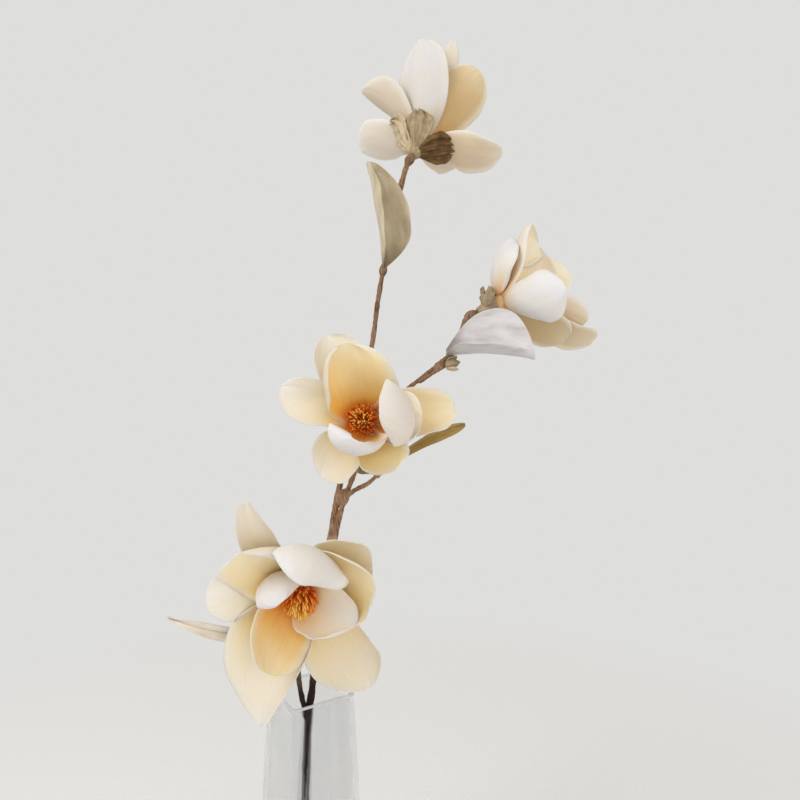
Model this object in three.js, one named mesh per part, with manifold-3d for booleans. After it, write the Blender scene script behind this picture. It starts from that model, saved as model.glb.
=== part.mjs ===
// A magnolia branch of four cream blooms standing in a tapered square glass vase.
// Millimetres, +Z up. The origin is the middle of the vase's underside, and -Y faces the viewer.
import * as THREE from 'three';
import { mergeVertices } from 'three/addons/utils/BufferGeometryUtils.js';
import Module from 'manifold-3d';

const wasm = await Module();
wasm.setup();

// ---------------------------------------------------------------- driving dimensions
const GAP = 0.3; // clearance where two pieces touch
const MERGE = 1e-4; // points closer than this are one point
const FINEST = 0.1; // detail smaller than this is smoothed away after a join or a cut

const VASE = {
  height: 250,
  halfBase: 39, // half the side of the square foot
  halfRim: 28.5, // half the side of the square mouth
  wall: 3.2,
  floor: 12,
  cornerRadius: 5,
  turn: 32, // degrees, how far the square is turned about +Z
};

const BLADE = { petal: 0.9, sepal: 1.1, leaf: 0.9 }; // thickness of petals, sepals and leaves

const HEART = { radius: 8, height: 12 }; // the solid middle that a bloom's petals grow from
const CALYX = { radius: 8.2, height: 16, foot: 4 }; // the cup under the petals
const BOSS = { radius: 5, height: 9 }; // the cone that the stamens stand on

const STAMEN = { count: 20, length: 15, thickness: 1.3 };

// ---------------------------------------------------------------- small helpers
const rad = THREE.MathUtils.degToRad;
const mix = THREE.MathUtils.lerp;
const ease = THREE.MathUtils.smoothstep;
const point = ([x, y, z]) => new THREE.Vector3(x, y, z);

// A bloom's own frame: `out` along its axis, `up` as near +Z as it can be, and `right` as seen by someone
// who faces the bloom.
function frameOf(at, faces) {
  const out = point(faces).normalize();
  const up = new THREE.Vector3(0, 0, 1).addScaledVector(out, -out.z).normalize();
  const right = new THREE.Vector3().crossVectors(up, out);
  return { at: point(at), out, up, right };
}

const along = (frame, distance) => frame.at.clone().addScaledVector(frame.out, distance);

// A closed body from rings of equal length, with a flat end on the first and the last ring.
function loft(rings) {
  const sides = rings[0].length;
  const vertices = rings.flat();
  const faces = [];
  for (let i = 0; i + 1 < rings.length; i++) {
    for (let j = 0; j < sides; j++) {
      const a = i * sides + j;
      const b = i * sides + ((j + 1) % sides);
      faces.push(a, b, b + sides, a, b + sides, a + sides);
    }
  }
  const last = (rings.length - 1) * sides;
  for (let j = 1; j + 1 < sides; j++) {
    faces.push(0, j + 1, j, last, last + j, last + j + 1);
  }
  return geometryOf(vertices, faces);
}

function geometryOf(vertices, faces) {
  const geometry = new THREE.BufferGeometry().setFromPoints(vertices);
  geometry.setIndex(faces);
  return geometry;
}

// Geometry to solid and back, for joining and cutting.
function solidOf(geometry) {
  const merged = mergeVertices(geometry, MERGE);
  return new wasm.Manifold(new wasm.Mesh({
    numProp: 3,
    vertProperties: merged.attributes.position.array,
    triVerts: new Uint32Array(merged.index.array),
  }));
}

function bodyOf(solid) {
  const mesh = largest(solid.simplify(FINEST)).getMesh();
  const geometry = new THREE.BufferGeometry();
  geometry.setAttribute('position', new THREE.BufferAttribute(new Float32Array(mesh.vertProperties), 3));
  geometry.setIndex(new THREE.BufferAttribute(new Uint32Array(mesh.triVerts), 1));
  return geometry;
}

const join = (geometries) => geometries.map(solidOf).reduce((whole, next) => whole.add(next));

// The largest body that is left of a solid, without the scraps that a cut leaves.
const largest = (solid) => solid.decompose().reduce(
  (best, next) => (next.volume() > best.volume() ? next : best),
);

// A body of revolution about a bloom's axis, from [radius, distance along the axis] points.
function turned(frame, profile, sides) {
  const rings = profile.map(([radius, z]) => {
    const ring = [];
    for (let j = 0; j < sides; j++) {
      const angle = (j / sides) * Math.PI * 2;
      ring.push(along(frame, z)
        .addScaledVector(frame.right, radius * Math.cos(angle))
        .addScaledVector(frame.up, radius * Math.sin(angle)));
    }
    return ring;
  });
  return loft(rings);
}

// ---------------------------------------------------------------- blades: petals, sepals and leaves
// A blade leaves the frame's axis in the direction `turn`, and its centreline leans away from the axis by
// lean[0] at the root, lean[1] half way and lean[2] at the tip. Across, it is an arc of half-angle `cup`
// about the side that faces the axis, with the two edges rolled further in by `roll`.
const STEPS = 48;

function outline(s, { rootWidth, widest, tip }) {
  if (s < widest) return rootWidth + (1 - rootWidth) * Math.sin((Math.PI / 2) * (s / widest));
  const u = (s - widest) / (1 - widest);
  return Math.pow(Math.max(0, 1 - u * u), tip);
}

function centreline(blade, frame) {
  const turn = rad(blade.turn);
  const away = new THREE.Vector3()
    .addScaledVector(frame.right, Math.cos(turn))
    .addScaledVector(frame.up, Math.sin(turn));
  const across = new THREE.Vector3().crossVectors(frame.out, away);
  const [l0, l1, l2] = blade.lean;
  const stations = [];
  const at = along(frame, blade.rise).addScaledVector(away, blade.root);
  for (let i = 0; i <= STEPS; i++) {
    const s = i / STEPS;
    const lean = rad(l0 * (1 - s) * (1 - 2 * s) + 4 * l1 * s * (1 - s) + l2 * s * (2 * s - 1));
    const forward = new THREE.Vector3()
      .addScaledVector(away, Math.sin(lean))
      .addScaledVector(frame.out, Math.cos(lean));
    const inward = new THREE.Vector3()
      .addScaledVector(away, -Math.cos(lean))
      .addScaledVector(frame.out, Math.sin(lean));
    const sway = rad(blade.sway * s);
    const heading = forward.clone().multiplyScalar(Math.cos(sway)).addScaledVector(across, Math.sin(sway));
    const side = across.clone().multiplyScalar(Math.cos(sway)).addScaledVector(forward, -Math.sin(sway));
    side.applyAxisAngle(heading, rad(blade.twist * s));
    inward.applyAxisAngle(heading, rad(blade.twist * s));
    stations.push({ at: at.clone(), side, inward });
    at.addScaledVector(heading, blade.length / STEPS);
  }
  return stations;
}

// The point and the inward normal of a blade's middle surface, s along it from 0 to 1 and t across it
// from -1 to 1.
function onBlade(blade, stations, s, t) {
  const place = Math.min(s * STEPS, STEPS - 1e-6);
  const before = stations[Math.floor(place)];
  const after = stations[Math.floor(place) + 1];
  const share = place - Math.floor(place);
  const at = before.at.clone().lerp(after.at, share);
  const side = before.side.clone().lerp(after.side, share).normalize();
  const inward = before.inward.clone().lerp(after.inward, share).normalize();
  const half = (blade.width / 2) * outline(s, blade);
  const wrap = rad(mix(blade.wrap, blade.cup, ease(s, 0, 0.45)));
  const roll = rad(t < 0 ? blade.roll[0] : blade.roll[1]) * ease(s, 0.1, 0.5);
  const fold = t < 0 ? blade.fold[0] : blade.fold[1];
  let x = 0;
  let y = 0;
  let angle = 0;
  const slices = 8;
  for (let k = 0; k < slices; k++) {
    const u = ((k + 0.5) / slices) * Math.abs(t);
    angle = wrap * u + roll * ease(u, 0.45, 1) + fold;
    x += (Math.cos(angle) * Math.abs(t)) / slices;
    y += (Math.sin(angle) * Math.abs(t)) / slices;
  }
  angle = wrap * Math.abs(t) + roll * ease(Math.abs(t), 0.45, 1) + (t === 0 ? 0 : fold);
  const sign = Math.sign(t);
  const ripple = blade.wave * Math.sin(blade.waves * Math.PI * s + (t < 0 ? 1.3 : 0)) * t * t;
  return {
    at: at.addScaledVector(side, sign * x * half).addScaledVector(inward, y * half + ripple),
    normal: inward.clone().multiplyScalar(Math.cos(angle)).addScaledVector(side, -sign * Math.sin(angle)),
  };
}

const PLAIN = {
  sway: 0, twist: 0, roll: [0, 0], fold: [0, 0], wave: 0, waves: 3, tip: 0.5, widest: 0.58, rootWidth: 0.34,
};

function bladeBody(given, frame, thickness, lengthwise, crosswise) {
  const blade = { ...PLAIN, ...given };
  const stations = centreline(blade, frame);
  const sheets = [-thickness / 2, thickness / 2].map((offset) => {
    const rows = [];
    for (let i = 0; i <= lengthwise; i++) {
      const s = 0.992 * (1 - Math.pow(1 - i / lengthwise, 1.45));
      for (let j = 0; j <= crosswise; j++) {
        const { at, normal } = onBlade(blade, stations, s, (2 * j) / crosswise - 1);
        rows.push(at.addScaledVector(normal, offset));
      }
    }
    return rows;
  });
  const count = sheets[0].length;
  const row = crosswise + 1;
  const faces = [];
  const wall = (a, b) => faces.push(a, b, b + count, a, b + count, a + count);
  for (let i = 0; i < lengthwise; i++) {
    for (let j = 0; j < crosswise; j++) {
      const a = i * row + j;
      faces.push(a, a + 1, a + row + 1, a, a + row + 1, a + row);
      const b = a + count;
      faces.push(b, b + row + 1, b + 1, b, b + row, b + row + 1);
    }
    wall(i * row, (i + 1) * row);
    wall((i + 1) * row + crosswise, i * row + crosswise);
  }
  for (let j = 0; j < crosswise; j++) {
    wall(j + 1, j);
    wall(lengthwise * row + j, lengthwise * row + j + 1);
  }
  return geometryOf(sheets.flat(), faces);
}

// ---------------------------------------------------------------- wood
// A tapered, slightly knobbly shoot through the given points. An upright one has a level foot.
function shoot(points, radii, { sides, steps, grow = 0, knobs = 0, upright = false }) {
  const curve = new THREE.CatmullRomCurve3(points, false, 'centripetal');
  const rings = [];
  let side = new THREE.Vector3(1, 0, 0);
  for (let i = 0; i <= steps; i++) {
    const s = i / steps;
    const centre = curve.getPointAt(s);
    const tangent = i === 0 && upright ? new THREE.Vector3(0, 0, 1) : curve.getTangentAt(s);
    side = side.clone().addScaledVector(tangent, -side.dot(tangent)).normalize();
    const over = new THREE.Vector3().crossVectors(tangent, side);
    const place = s * (radii.length - 1);
    const k = Math.min(Math.floor(place), radii.length - 2);
    const radius = mix(radii[k], radii[k + 1], place - k) * (1 + knobs * Math.sin(i * 2.4)) + grow;
    const ring = [];
    for (let j = 0; j < sides; j++) {
      const angle = (j / sides) * Math.PI * 2;
      ring.push(centre.clone()
        .addScaledVector(side, radius * Math.cos(angle))
        .addScaledVector(over, radius * Math.sin(angle)));
    }
    rings.push(ring);
  }
  return loft(rings);
}

// ---------------------------------------------------------------- the four blooms
// turn is counted anticlockwise by someone facing the bloom, from their right. INNER petals stand on the
// heart's front, and OUTER ones spring from its side.
const INNER = { root: 5, rise: 5, wrap: 70, cup: 55 };
const OUTER = { root: 6.2, rise: 3, wrap: 70, cup: 34 };

const SEPAL = { root: 3.4, rise: -12, length: 38, width: 28, wrap: 60, cup: 36, widest: 0.6 };

const petal = (kind, turn, lean, length, width, more) => ({ ...kind, turn, lean, length, width, ...more });

const BLOOMS = [
  {
    name: 'top_bloom',
    at: [93.5, 10, 715.5],
    faces: [0.42, 0.5, 0.757],
    petals: [
      petal(INNER, 122, [15, 30, 45], 92, 26, { sway: -9, roll: [0, 25], tip: 0.45, widest: 0.5 }),
      petal(INNER, 330, [30, 35, 30], 74, 50),
      petal(INNER, 215, [20, 20, 10], 72, 44),
      petal(OUTER, 97, [30, 40, 25], 90, 52, { sway: -16, roll: [-20, -30], tip: 0.55, widest: 0.55 }),
      petal(INNER, 148, [30, 30, 35], 76, 54, { sway: 8, roll: [-5, -20], cup: 50, widest: 0.65 }),
      petal(OUTER, 211, [85, 95, 45], 68, 40, { sway: -16, twist: 10, roll: [10, -25], cup: 15, tip: 0.6 }),
      petal(OUTER, 299, [30, 60, 45], 57, 56, { twist: 10, cup: 45, widest: 0.5 }),
      petal(OUTER, 32, [55, 55, 100], 84, 50, { sway: 14, twist: -10, cup: 55, tip: 0.75, widest: 0.7 }),
      petal(OUTER, 12, [65, 80, 75], 76, 46, { sway: -16, roll: [25, 0], cup: 40, tip: 0.45, widest: 0.7 }),
    ],
    sepals: [
      { turn: 94, lean: [55, 30, 5], width: 36, sway: -6, cup: 45 },
      { turn: 211, lean: [60, 65, 50], length: 32, width: 34, sway: -14, roll: [0, 25], tip: 0.4 },
      { turn: 36, lean: [70, 40, 65], length: 44, width: 30, cup: 40 },
    ],
  },
  {
    name: 'right_bloom',
    at: [157, 0, 575],
    faces: [0.93, 0.05, 0.36],
    petals: [
      petal(INNER, 192, [70, 50, 10], 62, 56, { sway: -4, twist: -15, roll: [30, -5], cup: 65, widest: 0.7 }),
      petal(INNER, 64, [25, 45, 10], 76, 74, {
        sway: -16, twist: -60, roll: [20, 30], cup: 65, tip: 0.8, widest: 0.7,
      }),
      petal(INNER, 234, [30, 30, 20], 72, 42, { sway: 34, tip: 0.45 }),
      petal(OUTER, 70, [85, 55, 20], 66, 70, { sway: -4, twist: 10, roll: [-5, 15], cup: 60, widest: 0.45 }),
      petal(OUTER, 322, [55, 55, 40], 78, 50),
      petal(OUTER, 267, [30, 45, 10], 88, 54, {
        sway: 12, twist: -15, roll: [-15, -35], cup: 20, widest: 0.7,
      }),
      petal(OUTER, 251, [40, 50, 35], 60, 56, { sway: 20, twist: -15, roll: [-10, -10], cup: 15, tip: 0.4 }),
      petal(INNER, 2, [50, 15, 30], 88, 46, {
        sway: 15, twist: -20, roll: [-10, -5], cup: 50, tip: 0.6, widest: 0.65,
      }),
    ],
    sepals: [
      { turn: 108, lean: [55, 45, 35], length: 19, width: 24 },
      { turn: 300, lean: [62, 72, 66] },
      { turn: 20, lean: [62, 72, 66] },
    ],
  },
  {
    name: 'middle_bloom',
    at: [46.7, -18.4, 475.9],
    faces: [-0.03, -0.98, 0.17],
    petals: [
      petal(INNER, 102, [35, 45, 40], 70, 72, {
        root: 6.5, sway: -3, twist: -10, roll: [-60, 85], tip: 0.4, widest: 0.45,
      }),
      petal(INNER, 1, [55, 15, -90], 108, 63, { twist: 15, roll: [25, -10], cup: 65, tip: 0.4, widest: 0.7 }),
      petal(INNER, 254, [50, 20, -60], 69, 66, { sway: 13, twist: 10, roll: [30, 15], cup: 70, tip: 0.4 }),
      petal(OUTER, 236, [75, 100, 95], 50, 48, {
        sway: -10, twist: 20, roll: [0, 10], tip: 0.6, widest: 0.6,
      }),
      petal(OUTER, 298, [50, 60, 40], 51, 46, { roll: [75, -30], cup: 25, tip: 0.4, widest: 0.7 }),
      petal(OUTER, 8, [65, 85, 90], 70, 44, { roll: [5, -25], cup: 45, tip: 0.45, widest: 0.55 }),
      petal(OUTER, 161, [65, 75, 85], 67, 38, {
        sway: -4, twist: -20, roll: [-25, 20], tip: 0.55, widest: 0.65,
      }),
      petal(OUTER, 112, [45, 80, 85], 72, 43, { sway: 3, twist: 10, roll: [-5, 20], cup: 30, widest: 0.7 }),
      petal(OUTER, 72, [45, 50, 35], 54, 46),
      petal(OUTER, 357, [50, 50, 70], 52, 48, { sway: -3, roll: [65, -5], cup: 22, tip: 0.45, widest: 0.7 }),
    ],
    sepals: [
      { turn: 30, lean: [75, 95, 100] },
      { turn: 150, lean: [75, 95, 100] },
      { turn: 270, lean: [75, 95, 100] },
    ],
  },
  {
    name: 'lower_bloom',
    at: [0.9, -54.5, 356.6],
    faces: [0.12, -0.93, -0.3],
    petals: [
      petal(INNER, 235, [45, 35, 25], 62, 49, { sway: 5, roll: [-10, -15], cup: 30, tip: 0.4, widest: 0.45 }),
      petal(INNER, 345, [20, 50, 35], 53, 59, {
        sway: 9, twist: -35, roll: [20, 20], cup: 70, tip: 0.4, widest: 0.4,
      }),
      petal(INNER, 125, [70, 25, -65], 64, 50, { sway: -7, twist: -20, roll: [0, 25], cup: 60, tip: 0.4 }),
      petal(INNER, 72, [65, 40, -75], 96, 64, {
        root: 6, sway: 15, twist: -15, roll: [-25, 15], cup: 60, tip: 0.4, widest: 0.65,
      }),
      petal(OUTER, 121, [50, 60, 45], 72, 72, { sway: 11, roll: [135, -40], cup: 15, tip: 0.45, widest: 0.5 }),
      petal(OUTER, 236, [65, 60, 70], 98, 70, {
        sway: 31, twist: 50, roll: [-35, 75], cup: 20, tip: 0.7, widest: 0.45,
      }),
      petal(OUTER, 304, [65, 80, 60], 91, 63, { roll: [-5, 15], cup: 50, tip: 0.65, widest: 0.6 }),
      petal(OUTER, 32, [40, 60, 20], 72, 75, {
        twist: -10, roll: [25, -10], cup: 50, tip: 0.55, widest: 0.55,
      }),
      petal(OUTER, 41, [65, 65, 45], 72, 51, { sway: 15, roll: [20, -5], cup: 30, tip: 0.45, widest: 0.5 }),
      petal(OUTER, 120, [60, 75, 105], 86, 32, { sway: -13, twist: -15, roll: [20, -5], cup: 50, tip: 0.4 }),
      petal(OUTER, 177, [80, 70, 80], 63, 49, { sway: -12, roll: [5, -30], cup: 25, widest: 0.65 }),
    ],
    sepals: [
      { turn: 30, lean: [75, 95, 100] },
      { turn: 150, lean: [75, 95, 100] },
      { turn: 270, lean: [75, 95, 100] },
    ],
  },
];

for (const bloom of BLOOMS) bloom.frame = frameOf(bloom.at, bloom.faces);
const stalkEnd = (bloom) => along(bloom.frame, -CALYX.height - GAP);

function petalsOf({ frame, petals }) {
  const heart = turned(frame, [
    [HEART.radius - 0.6, GAP],
    [HEART.radius, 4],
    [HEART.radius - 0.4, 8],
    [HEART.radius - 2.5, HEART.height],
  ], 12);
  return join([heart, ...petals.map((petal) => bladeBody(petal, frame, BLADE.petal, 6, 4))]);
}

// The space that a bloom's petals need, for cutting what stands among them.
const clearOfPetals = ({ frame, petals }) => join(
  petals.map((petal) => bladeBody(petal, frame, BLADE.petal + 2 * GAP, 6, 4)),
);

function calyxOf(bloom) {
  const { frame, sepals } = bloom;
  const cup = turned(frame, [
    [CALYX.foot, -CALYX.height],
    [CALYX.radius - 1.2, -6],
    [CALYX.radius, 0],
  ], 12);
  const blades = sepals.map((sepal) => bladeBody({ ...SEPAL, ...sepal }, frame, BLADE.sepal, 4, 4));
  return join([cup, ...blades]).subtract(clearOfPetals(bloom)).subtract(clearOfWood);
}

// Stamens stand round the boss in a golden-angle spiral, the outer ones leaning out, all curling back in.
function stamensOf(bloom) {
  const { frame } = bloom;
  const foot = HEART.height + GAP;
  const boss = turned(frame, [
    [BOSS.radius - 0.6, foot],
    [BOSS.radius, foot + 3],
    [BOSS.radius - 1.5, foot + 6.5],
    [1.2, foot + BOSS.height],
  ], 9);
  const bodies = [boss];
  for (let k = 0; k < STAMEN.count; k++) {
    const share = (k + 0.5) / STAMEN.count;
    const turn = k * 2.39996;
    const away = new THREE.Vector3()
      .addScaledVector(frame.right, Math.cos(turn))
      .addScaledVector(frame.up, Math.sin(turn));
    const lean = rad(mix(15, 72, share));
    const points = [0, 0.4, 0.75, 1].map((s) => {
      const out = Math.sin(lean) * STAMEN.length * s * (1 - 0.35 * s) + 1.2 + 2.4 * share;
      const up = Math.cos(lean) * STAMEN.length * s + 4 * s * s + mix(6, 1.5, share);
      return along(frame, foot + up).addScaledVector(away, out);
    });
    bodies.push(shoot(points, [STAMEN.thickness / 2, STAMEN.thickness / 2, 0.5], { sides: 3, steps: 2 }));
  }
  return join(bodies).subtract(clearOfPetals(bloom));
}

// ---------------------------------------------------------------- wood paths
const [topBloom, rightBloom, middleBloom, lowerBloom] = BLOOMS;

const upTo = (bloom, points) => [
  ...points.map(point),
  along(bloom.frame, -CALYX.height - 9),
  stalkEnd(bloom),
];

const MAIN = {
  path: upTo(topBloom, [
    [-11, -1, VASE.floor + GAP], [-2, -17, 166], [2, -22.4, 242], [4.1, -20, 258], [6.4, -13, 288],
    [9.6, -6, 327], [13.1, 0, 355], [17, 3, 380], [21, 6, 405], [25.1, 8, 426], [33.5, 10, 465],
    [42.2, 10, 504], [51.8, 8, 542.5], [57.1, 6, 581], [62.3, 5, 611], [68.3, 6, 643], [75.1, 6, 673],
  ]),
  radii: [3.5, 3.4, 3.3, 3.0, 2.9, 2.6, 2.3, 2.1, 2.6],
  sides: 8,
  steps: 30,
  upright: true,
};

const RIGHT = {
  path: upTo(rightBloom, [
    [2.5, -19, 249], [7.5, -9, 286], [12.3, -3, 326], [16.8, 0, 354.5], [21.2, 2, 380], [26.4, 3, 403],
    [32, 5, 419.5], [43.1, 10, 447], [62.1, 12, 479], [83, 8, 504.5], [96.6, 4, 515.6],
    [110, 0, 526.5], [122.6, -2, 537.3],
  ]),
  radii: [2.2, 2.3, 2.3, 2.2, 2.0, 1.9, 2.6],
  sides: 6,
  steps: 20,
};

const TO_MIDDLE = {
  path: upTo(middleBloom, [
    [28, 3, 411], [37.8, -1, 418.6], [50, 0, 425], [57.6, 4, 434], [57, 10, 455],
  ]),
  radii: [2.2, 1.9, 1.9, 2.6],
  sides: 7,
  steps: 12,
};

const TO_LOWER = {
  path: upTo(lowerBloom, [
    [1, -23, 236], [-2.7, -28, 255.6], [-4.5, -32, 272], [-5.4, -35, 293.6], [-3, -34, 325],
  ]),
  radii: [2.2, 2.2, 2.0, 2.6],
  sides: 7,
  steps: 12,
};

const BUD_STALK = {
  path: [[92, 4, 510], [101.4, -1, 516], [109, -5, 521], [114, -7, 523.5]].map(point),
  radii: [1.6, 1.5, 1.8],
  sides: 6,
  steps: 6,
};

// A swelling of the wood: [length, radius] about a point, in line with the direction that it faces.
const KNOTS = [
  { at: [28, 4, 411], faces: [0.3, 0.1, 1], length: 16, radius: 4.6 },
  { at: [57.6, 4, 434], faces: [0.2, 0.2, 1], length: 12, radius: 3.6 },
  { at: [1, -23, 240], faces: [-0.1, -0.2, 1], length: 14, radius: 4.2 },
  { at: [109, -3, 524], faces: [1, 0, 0.8], length: 12, radius: 3.4 },
  { at: [61.5, 5, 606], faces: [0.2, 0, 1], length: 12, radius: 3.6 },
];

// The thickened end of the stalk under each bloom.
const STALK_END = { length: 12, radius: 4.2 };

const knot = (frame, from, to, radius) => turned(frame, [
  [radius * 0.35, from],
  [radius * 0.85, mix(from, to, 0.25)],
  [radius, mix(from, to, 0.6)],
  [radius * 0.6, to],
], 8);

const shoots = (grow) => [
  ...[MAIN, RIGHT, TO_MIDDLE, TO_LOWER, BUD_STALK].map((wood) => shoot(
    wood.path, wood.radii, { ...wood, grow, knobs: 0.05 },
  )),
  ...KNOTS.map(({ at, faces, length, radius }) => (
    knot(frameOf(at, faces), -length / 2, length / 2, radius + grow)
  )),
  ...BLOOMS.map(({ frame }) => {
    const end = -CALYX.height - GAP;
    return knot(frame, end - STALK_END.length, end, STALK_END.radius + grow);
  }),
];

const wood = join(shoots(0));
const clearOfWood = join(shoots(GAP));

// ---------------------------------------------------------------- leaves
// A leaf leans away from the axis of a frame of its own, at the place where it leaves the twig. fold is the
// angle in radians by which each half is bent up from the flat.
const LEAF = { root: 0, rise: 0, wrap: 40, cup: 12, widest: 0.5, rootWidth: 0.12, tip: 0.8 };

const LEAVES = [
  {
    name: 'top_leaf',
    at: [61.5, 4, 609],
    faces: [-0.1, -0.75, 0],
    blade: {
      ...LEAF,
      turn: 87,
      lean: [72, 72, 92],
      length: 86,
      width: 59,
      sway: 20,
      twist: 10,
      fold: [0.05, 1.45],
      cup: 42,
      tip: 0.65,
      widest: 0.35,
    },
  },
  {
    name: 'right_leaf',
    at: [115, -6, 533],
    faces: [0, -1, 0],
    blade: {
      ...LEAF,
      turn: 3,
      lean: [80, 50, 75],
      length: 78,
      width: 76,
      sway: -15,
      twist: -20,
      fold: [1.4, -0.15],
      cup: 22,
    },
  },
  {
    name: 'middle_leaf',
    at: [57.5, 3, 432],
    faces: [0, -1, 0],
    blade: {
      ...LEAF,
      turn: 44,
      lean: [90, 95, 105],
      length: 88,
      width: 15,
      sway: -30,
      fold: [0.3, 0.9],
      cup: 28,
      tip: 0.5,
      widest: 0.75,
    },
  },
  {
    name: 'lower_leaf',
    at: [-6, -33, 300],
    faces: [0, -1, 0],
    blade: {
      ...LEAF,
      turn: 170,
      lean: [88, 83, 90],
      length: 104,
      width: 16,
      sway: -9,
      twist: -15,
      fold: [0.25, 0.9],
      widest: 0.4,
    },
  },
];

const leafOf = ({ at, faces, blade }) => bodyOf(
  solidOf(bladeBody(blade, frameOf(at, faces), BLADE.leaf, 8, 4)).subtract(clearOfWood),
);

// ---------------------------------------------------------------- side bud
// A closed bud, blunt at its foot, between two pale bracts that hug it.
const BUD = { at: [114.3, -7.1, 523.7], faces: [0.86, -0.38, 0.22], length: 13, radius: 4 };
const BRACT = { root: 3.2, rise: 0.5, length: 11, width: 8, wrap: 60, cup: 50, lean: [38, 14, -8] };

function sideBud() {
  const frame = frameOf(BUD.at, BUD.faces);
  const core = turned(frame, [
    [2, GAP],
    [3.6, 2],
    [BUD.radius, BUD.length * 0.4],
    [3.2, BUD.length * 0.7],
    [1.3, BUD.length * 0.92],
    [0.5, BUD.length],
  ], 10);
  const bracts = [70, 250].map((turn) => bladeBody({ ...BRACT, turn }, frame, BLADE.sepal, 4, 4));
  return join([core, ...bracts]).subtract(clearOfWood);
}

// ---------------------------------------------------------------- vase
function squareRing(half, z) {
  const ring = [];
  const arc = 4;
  const corner = Math.min(VASE.cornerRadius, half / 3);
  for (let side = 0; side < 4; side++) {
    for (let k = 0; k <= arc; k++) {
      const angle = ((side + k / arc) * Math.PI) / 2;
      const centre = (side + 0.5) * (Math.PI / 2);
      const reach = (half - corner) * Math.SQRT2;
      ring.push(new THREE.Vector3(
        reach * Math.cos(centre) + corner * Math.cos(angle),
        reach * Math.sin(centre) + corner * Math.sin(angle),
        z,
      ));
    }
  }
  return ring;
}

function vaseBody() {
  const { height, halfBase, halfRim, wall, floor } = VASE;
  const inside = (z) => mix(halfBase, halfRim, z / height) - wall;
  const chamfer = 1;
  return loft([
    squareRing(halfBase - chamfer, 0),
    squareRing(halfBase, chamfer * 1.5),
    squareRing(halfRim, height - chamfer),
    squareRing(halfRim - chamfer, height),
    squareRing(inside(height) + chamfer, height),
    squareRing(inside(height), height - chamfer),
    squareRing(inside(floor + 3), floor + 3),
    squareRing(inside(floor) - 3, floor),
  ]);
}

// ---------------------------------------------------------------- the scene
const MATERIALS = {
  petal: new THREE.MeshStandardMaterial({ color: 0xf6ebd8, roughness: 0.75, side: THREE.DoubleSide }),
  sepal: new THREE.MeshStandardMaterial({ color: 0x8a7a52, roughness: 0.8 }),
  stamen: new THREE.MeshStandardMaterial({ color: 0xc8641e, roughness: 0.7 }),
  wood: new THREE.MeshStandardMaterial({ color: 0x6b4a38, roughness: 0.85 }),
  leaf: new THREE.MeshStandardMaterial({ color: 0xb5aa92, roughness: 0.9 }),
  glass: new THREE.MeshStandardMaterial({
    color: 0xe6eef0,
    roughness: 0.03,
    transparent: true,
    opacity: 0.35,
  }),
};

const part = new THREE.Group();

function add(name, geometry, material) {
  const mesh = new THREE.Mesh(geometry, material);
  mesh.name = name;
  part.add(mesh);
  return mesh;
}

add('vase', vaseBody(), MATERIALS.glass).rotation.z = rad(VASE.turn);
add('branch_wood', bodyOf(wood), MATERIALS.wood);
for (const bloom of BLOOMS) {
  add(`${bloom.name}_petals`, bodyOf(petalsOf(bloom)), MATERIALS.petal);
  add(`${bloom.name}_calyx`, bodyOf(calyxOf(bloom)), MATERIALS.sepal);
  add(`${bloom.name}_stamens`, bodyOf(stamensOf(bloom)), MATERIALS.stamen);
}
for (const leaf of LEAVES) add(leaf.name, leafOf(leaf), MATERIALS.leaf);
add('side_bud', bodyOf(sideBud()), MATERIALS.sepal);

export default part;
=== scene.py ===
import math

import bpy
import numpy as np
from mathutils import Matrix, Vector, kdtree, noise


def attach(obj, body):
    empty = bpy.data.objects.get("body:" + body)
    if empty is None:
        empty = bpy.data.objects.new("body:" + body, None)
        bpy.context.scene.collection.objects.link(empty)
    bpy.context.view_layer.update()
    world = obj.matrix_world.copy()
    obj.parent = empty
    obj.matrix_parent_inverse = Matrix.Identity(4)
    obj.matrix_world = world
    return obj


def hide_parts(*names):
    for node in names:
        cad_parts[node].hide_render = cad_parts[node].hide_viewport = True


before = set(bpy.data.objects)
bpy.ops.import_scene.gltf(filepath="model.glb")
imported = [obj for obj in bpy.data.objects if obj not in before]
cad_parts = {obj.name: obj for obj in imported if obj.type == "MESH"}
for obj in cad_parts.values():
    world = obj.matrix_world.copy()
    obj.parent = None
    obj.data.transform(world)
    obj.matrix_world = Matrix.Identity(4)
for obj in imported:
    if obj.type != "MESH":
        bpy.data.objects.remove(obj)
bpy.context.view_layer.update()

MM = 0.001
TAU = 2 * math.pi

# ---------------------------------------------------------------- camera
CAMERA_AT = (76, -510, 495)
LENS = 27
SENSOR = 36


def make_camera():
    data = bpy.data.cameras.new("camera")
    data.lens = LENS
    data.sensor_width = SENSOR
    camera = bpy.data.objects.new("camera", data)
    camera.location = Vector(CAMERA_AT) * MM
    camera.rotation_euler = (math.pi / 2, 0, 0)
    bpy.context.collection.objects.link(camera)
    bpy.context.scene.camera = camera


make_camera()


# ---------------------------------------------------------------- small helpers
def unit(v):
    return v / np.linalg.norm(v, axis=-1, keepdims=True)


def mix(a, b, share):
    return a + (b - a) * share


def ease(x, low, high):
    u = np.clip((x - low) / (high - low), 0, 1)
    return u * u * (3 - 2 * u)


def bloom_frame(at, faces):
    """The axes at a point: out, up as near +Z as it can be, and right as seen by someone facing it."""
    out = unit(np.array(faces, float))
    up = unit(np.array([0, 0, 1.0]) - out * out[2])
    return {"at": np.array(at, float), "out": out, "up": up, "right": np.cross(up, out)}


def along(axes, distance):
    return axes["at"] + axes["out"] * distance


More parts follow.
